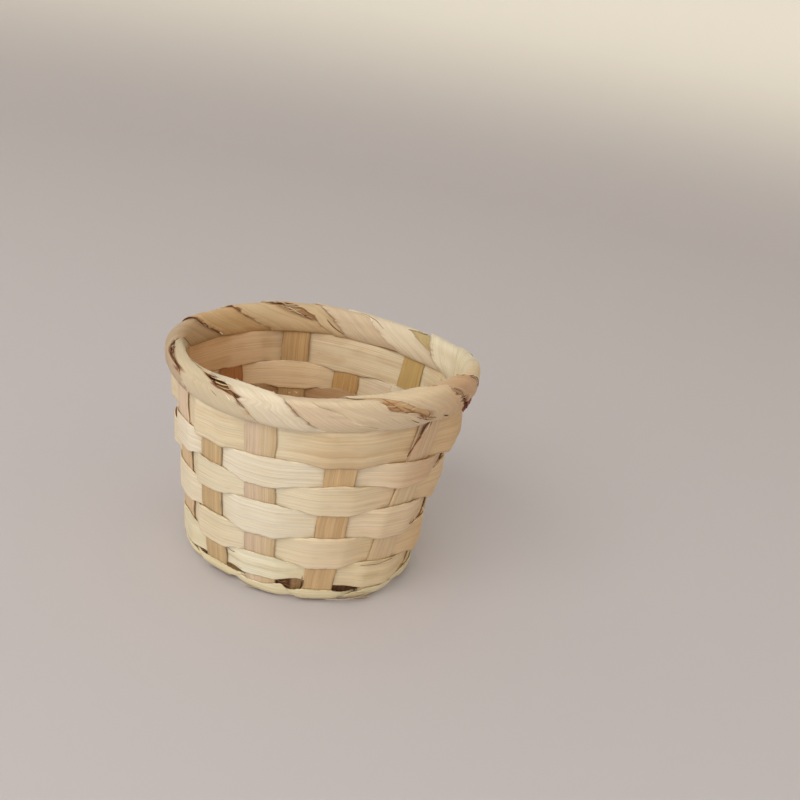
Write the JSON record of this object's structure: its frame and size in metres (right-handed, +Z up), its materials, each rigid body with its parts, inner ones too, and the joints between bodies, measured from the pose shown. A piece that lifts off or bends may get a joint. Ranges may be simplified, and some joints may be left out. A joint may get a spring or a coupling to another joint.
{
  "type": "woven bamboo basket",
  "caption": "Small round tapered basket woven from flat bamboo strips, with a plaited base and a strip-bound rim, open at the top.",
  "frame": {"origin": "middle of the basket's outline seen from above, on the surface that the base rests on", "axes": "+Z up, out of the mouth; -Y towards the viewer of the picture"},
  "size_m": [0.098, 0.1026, 0.0758],
  "materials": {
    "bamboo_stake": "matt split bamboo with lengthwise fibres, tan with faint olive and grey streaks",
    "bamboo_weaver": "matt split bamboo with lengthwise fibres, pale cream",
    "bamboo_hoop": "matt split bamboo, darker tan",
    "bamboo_binding": "smooth split bamboo with a slight sheen, pale cream"
  },
  "bodies": {
    "root": {"stake_strip_left": "bamboo_stake", "stake_strip_centre": "bamboo_stake", "stake_strip_right": "bamboo_stake", "stake_strip_front": "bamboo_stake", "stake_strip_middle": "bamboo_stake", "stake_strip_back": "bamboo_stake", "weaver_row_1": "bamboo_weaver", "weaver_row_2": "bamboo_weaver", "weaver_row_3": "bamboo_weaver", "weaver_row_4": "bamboo_weaver", "weaver_row_5": "bamboo_weaver", "weaver_row_6": "bamboo_weaver", "foot_band_upper": "bamboo_weaver", "foot_band_lower": "bamboo_weaver", "rim_hoop_inner": "bamboo_hoop", "rim_hoop_outer": "bamboo_hoop", "rim_binding_strip": "bamboo_binding"}
  },
  "joints": []
}
